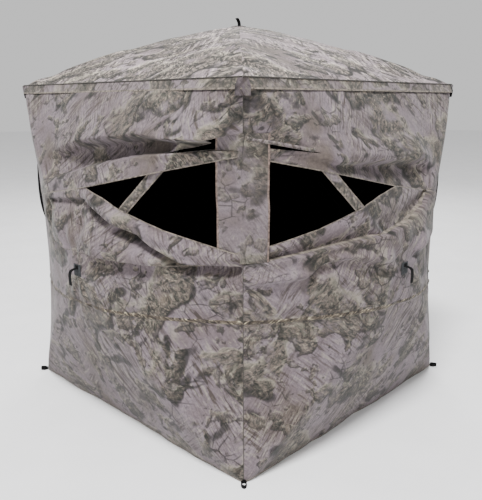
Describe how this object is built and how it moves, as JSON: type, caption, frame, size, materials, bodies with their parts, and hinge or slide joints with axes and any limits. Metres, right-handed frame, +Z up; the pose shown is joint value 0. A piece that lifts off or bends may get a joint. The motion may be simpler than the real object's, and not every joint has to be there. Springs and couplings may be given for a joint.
{
  "type": "pop up ground blind",
  "caption": "Square camouflage ground blind with sprung hubs and bowed poles in each wall and the roof, corner windows, an eave valance and a zipped door.",
  "frame": {"origin": "centre of the square footprint, on the ground", "axes": "+Z up, -Y out of the front wall, +X out of the right wall; the near window corner is at +X, -Y and the door is in the +Y wall"},
  "size_m": [1.9734, 1.9734, 1.796],
  "materials": {
    "camo_fabric": "printed polyester, matt",
    "roof_fabric": "printed polyester, matt, paler",
    "valance_fabric": "printed polyester with a dark piping",
    "webbing": "black woven webbing",
    "hub_plastic": "moulded nylon",
    "pole": "glass fibre rod, satin",
    "zip_coil": "nylon coil",
    "zip_slider": "cast zinc"
  },
  "bodies": {
    "shell": {"corner_panel_far": "camo_fabric", "corner_panel_near": "camo_fabric", "door_zip": "zip_coil", "eave_valance": "valance_fabric", "lower_wall_back": "camo_fabric", "lower_wall_front": "camo_fabric", "lower_wall_left": "camo_fabric", "lower_wall_right": "camo_fabric", "roof_canopy": "roof_fabric", "stake_loop_back_left": "webbing", "stake_loop_back_right": "webbing", "stake_loop_front_left": "webbing", "stake_loop_front_right": "webbing", "upper_wall_back": "camo_fabric", "upper_wall_front": "camo_fabric", "upper_wall_left": "camo_fabric", "upper_wall_right": "camo_fabric", "window_strap_front": "camo_fabric", "window_strap_right": "camo_fabric"},
    "hub_front": {"hub_front": "hub_plastic", "hub_patch_front": "camo_fabric", "pull_tab_front": "webbing"},
    "pole_front_upper_right": {"pole_front_upper_right": "pole"},
    "pole_front_upper_left": {"pole_front_upper_left": "pole"},
    "pole_front_lower_left": {"pole_front_lower_left": "pole"},
    "pole_front_lower_right": {"pole_front_lower_right": "pole"},
    "hub_right": {"hub_right": "hub_plastic", "hub_patch_right": "camo_fabric", "pull_tab_right": "webbing"},
    "pole_right_upper_right": {"pole_right_upper_right": "pole"},
    "pole_right_upper_left": {"pole_right_upper_left": "pole"},
    "pole_right_lower_left": {"pole_right_lower_left": "pole"},
    "pole_right_lower_right": {"pole_right_lower_right": "pole"},
    "hub_back": {"hub_back": "hub_plastic", "hub_patch_back": "camo_fabric", "pull_tab_back": "webbing"},
    "pole_back_upper_right": {"pole_back_upper_right": "pole"},
    "pole_back_upper_left": {"pole_back_upper_left": "pole"},
    "pole_back_lower_left": {"pole_back_lower_left": "pole"},
    "pole_back_lower_right": {"pole_back_lower_right": "pole"},
    "hub_left": {"hub_left": "hub_plastic", "hub_patch_left": "camo_fabric", "pull_tab_left": "webbing"},
    "pole_left_upper_right": {"pole_left_upper_right": "pole"},
    "pole_left_upper_left": {"pole_left_upper_left": "pole"},
    "pole_left_lower_left": {"pole_left_lower_left": "pole"},
    "pole_left_lower_right": {"pole_left_lower_right": "pole"},
    "hub_roof": {"hub_roof": "hub_plastic", "hub_patch_roof": "roof_fabric", "pull_tab_roof": "webbing"},
    "pole_roof_back_right": {"pole_roof_back_right": "pole"},
    "pole_roof_back_left": {"pole_roof_back_left": "pole"},
    "pole_roof_front_left": {"pole_roof_front_left": "pole"},
    "pole_roof_front_right": {"pole_roof_front_right": "pole"},
    "door": {"door_flap": "camo_fabric"},
    "zip_slider": {"door_slider": "zip_slider"}
  },
  "joints": [
    {"name": "front_hub_slide", "type": "slide", "parent": "shell", "child": "hub_front", "axis": [0, 1, 0], "range_m": [0, 0.388]},
    {"name": "pole_front_upper_right_hinge", "type": "hinge", "parent": "hub_front", "child": "pole_front_upper_right", "pos_m": [0.02112, -0.9285, 0.76456], "axis": [0.7103, 0, -0.7039], "range_deg": [0, 23.1]},
    {"name": "pole_front_upper_left_hinge", "type": "hinge", "parent": "hub_front", "child": "pole_front_upper_left", "pos_m": [-0.02112, -0.9285, 0.76456], "axis": [0.7103, 0, 0.7039], "range_deg": [0, 23.1]},
    {"name": "pole_front_lower_left_hinge", "type": "hinge", "parent": "hub_front", "child": "pole_front_lower_left", "pos_m": [-0.02112, -0.9285, 0.72194], "axis": [-0.7103, 0, 0.7039], "range_deg": [0, 23.1]},
    {"name": "pole_front_lower_right_hinge", "type": "hinge", "parent": "hub_front", "child": "pole_front_lower_right", "pos_m": [0.02112, -0.9285, 0.72194], "axis": [-0.7103, 0, -0.7039], "range_deg": [0, 23.1]},
    {"name": "right_hub_slide", "type": "slide", "parent": "shell", "child": "hub_right", "axis": [-1, 0, 0], "range_m": [0, 0.388]},
    {"name": "pole_right_upper_right_hinge", "type": "hinge", "parent": "hub_right", "child": "pole_right_upper_right", "pos_m": [0.9285, 0.02112, 0.76456], "axis": [0, 0.7103, -0.7039], "range_deg": [0, 23.1]},
    {"name": "pole_right_upper_left_hinge", "type": "hinge", "parent": "hub_right", "child": "pole_right_upper_left", "pos_m": [0.9285, -0.02112, 0.76456], "axis": [0, 0.7103, 0.7039], "range_deg": [0, 23.1]},
    {"name": "pole_right_lower_left_hinge", "type": "hinge", "parent": "hub_right", "child": "pole_right_lower_left", "pos_m": [0.9285, -0.02112, 0.72194], "axis": [0, -0.7103, 0.7039], "range_deg": [0, 23.1]},
    {"name": "pole_right_lower_right_hinge", "type": "hinge", "parent": "hub_right", "child": "pole_right_lower_right", "pos_m": [0.9285, 0.02112, 0.72194], "axis": [0, -0.7103, -0.7039], "range_deg": [0, 23.1]},
    {"name": "back_hub_slide", "type": "slide", "parent": "shell", "child": "hub_back", "axis": [0, -1, 0], "range_m": [0, 0.388]},
    {"name": "pole_back_upper_right_hinge", "type": "hinge", "parent": "hub_back", "child": "pole_back_upper_right", "pos_m": [-0.02112, 0.9285, 0.76456], "axis": [-0.7103, 0, -0.7039], "range_deg": [0, 23.1]},
    {"name": "pole_back_upper_left_hinge", "type": "hinge", "parent": "hub_back", "child": "pole_back_upper_left", "pos_m": [0.02112, 0.9285, 0.76456], "axis": [-0.7103, 0, 0.7039], "range_deg": [0, 23.1]},
    {"name": "pole_back_lower_left_hinge", "type": "hinge", "parent": "hub_back", "child": "pole_back_lower_left", "pos_m": [0.02112, 0.9285, 0.72194], "axis": [0.7103, 0, 0.7039], "range_deg": [0, 23.1]},
    {"name": "pole_back_lower_right_hinge", "type": "hinge", "parent": "hub_back", "child": "pole_back_lower_right", "pos_m": [-0.02112, 0.9285, 0.72194], "axis": [0.7103, 0, -0.7039], "range_deg": [0, 23.1]},
    {"name": "left_hub_slide", "type": "slide", "parent": "shell", "child": "hub_left", "axis": [1, 0, 0], "range_m": [0, 0.388]},
    {"name": "pole_left_upper_right_hinge", "type": "hinge", "parent": "hub_left", "child": "pole_left_upper_right", "pos_m": [-0.9285, -0.02112, 0.76456], "axis": [0, -0.7103, -0.7039], "range_deg": [0, 23.1]},
    {"name": "pole_left_upper_left_hinge", "type": "hinge", "parent": "hub_left", "child": "pole_left_upper_left", "pos_m": [-0.9285, 0.02112, 0.76456], "axis": [0, -0.7103, 0.7039], "range_deg": [0, 23.1]},
    {"name": "pole_left_lower_left_hinge", "type": "hinge", "parent": "hub_left", "child": "pole_left_lower_left", "pos_m": [-0.9285, 0.02112, 0.72194], "axis": [0, 0.7103, 0.7039], "range_deg": [0, 23.1]},
    {"name": "pole_left_lower_right_hinge", "type": "hinge", "parent": "hub_left", "child": "pole_left_lower_right", "pos_m": [-0.9285, -0.02112, 0.72194], "axis": [0, 0.7103, -0.7039], "range_deg": [0, 23.1]},
    {"name": "roof_hub_slide", "type": "slide", "parent": "shell", "child": "hub_roof", "axis": [0, 0, -1], "range_m": [0, 0.5]},
    {"name": "pole_roof_back_right_hinge", "type": "hinge", "parent": "hub_roof", "child": "pole_roof_back_right", "pos_m": [0.02121, 0.02121, 1.738], "axis": [0.7071, -0.7071, 0], "range_deg": [0, 29.5]},
    {"name": "pole_roof_back_left_hinge", "type": "hinge", "parent": "hub_roof", "child": "pole_roof_back_left", "pos_m": [-0.02121, 0.02121, 1.738], "axis": [0.7071, 0.7071, 0], "range_deg": [0, 29.5]},
    {"name": "pole_roof_front_left_hinge", "type": "hinge", "parent": "hub_roof", "child": "pole_roof_front_left", "pos_m": [-0.02121, -0.02121, 1.738], "axis": [-0.7071, 0.7071, 0], "range_deg": [0, 29.5]},
    {"name": "pole_roof_front_right_hinge", "type": "hinge", "parent": "hub_roof", "child": "pole_roof_front_right", "pos_m": [0.02121, -0.02121, 1.738], "axis": [-0.7071, -0.7071, 0], "range_deg": [0, 29.5]},
    {"name": "door_hinge", "type": "hinge", "parent": "shell", "child": "door", "pos_m": [0.14, 0.92981, 0.74325], "axis": [0, 0, 1], "range_deg": [0, 110]},
    {"name": "zip_slide", "type": "slide", "parent": "shell", "child": "zip_slider", "axis": [0, 0, -1], "range_m": [0, 0.769]}
  ],
  "couplings": [
    {"joint": "pole_front_upper_right_hinge", "follows": "front_hub_slide", "rad_per_m": 1.0212},
    {"joint": "pole_front_upper_left_hinge", "follows": "front_hub_slide", "rad_per_m": 1.0212},
    {"joint": "pole_front_lower_left_hinge", "follows": "front_hub_slide", "rad_per_m": 1.0212},
    {"joint": "pole_front_lower_right_hinge", "follows": "front_hub_slide", "rad_per_m": 1.0212},
    {"joint": "pole_right_upper_right_hinge", "follows": "right_hub_slide", "rad_per_m": 1.0212},
    {"joint": "pole_right_upper_left_hinge", "follows": "right_hub_slide", "rad_per_m": 1.0212},
    {"joint": "pole_right_lower_left_hinge", "follows": "right_hub_slide", "rad_per_m": 1.0212},
    {"joint": "pole_right_lower_right_hinge", "follows": "right_hub_slide", "rad_per_m": 1.0212},
    {"joint": "pole_back_upper_right_hinge", "follows": "back_hub_slide", "rad_per_m": 1.0212},
    {"joint": "pole_back_upper_left_hinge", "follows": "back_hub_slide", "rad_per_m": 1.0212},
    {"joint": "pole_back_lower_left_hinge", "follows": "back_hub_slide", "rad_per_m": 1.0212},
    {"joint": "pole_back_lower_right_hinge", "follows": "back_hub_slide", "rad_per_m": 1.0212},
    {"joint": "pole_left_upper_right_hinge", "follows": "left_hub_slide", "rad_per_m": 1.0212},
    {"joint": "pole_left_upper_left_hinge", "follows": "left_hub_slide", "rad_per_m": 1.0212},
    {"joint": "pole_left_lower_left_hinge", "follows": "left_hub_slide", "rad_per_m": 1.0212},
    {"joint": "pole_left_lower_right_hinge", "follows": "left_hub_slide", "rad_per_m": 1.0212},
    {"joint": "pole_roof_back_right_hinge", "follows": "roof_hub_slide", "rad_per_m": 1.0174},
    {"joint": "pole_roof_back_left_hinge", "follows": "roof_hub_slide", "rad_per_m": 1.0174},
    {"joint": "pole_roof_front_left_hinge", "follows": "roof_hub_slide", "rad_per_m": 1.0174},
    {"joint": "pole_roof_front_right_hinge", "follows": "roof_hub_slide", "rad_per_m": 1.0174}
  ]
}
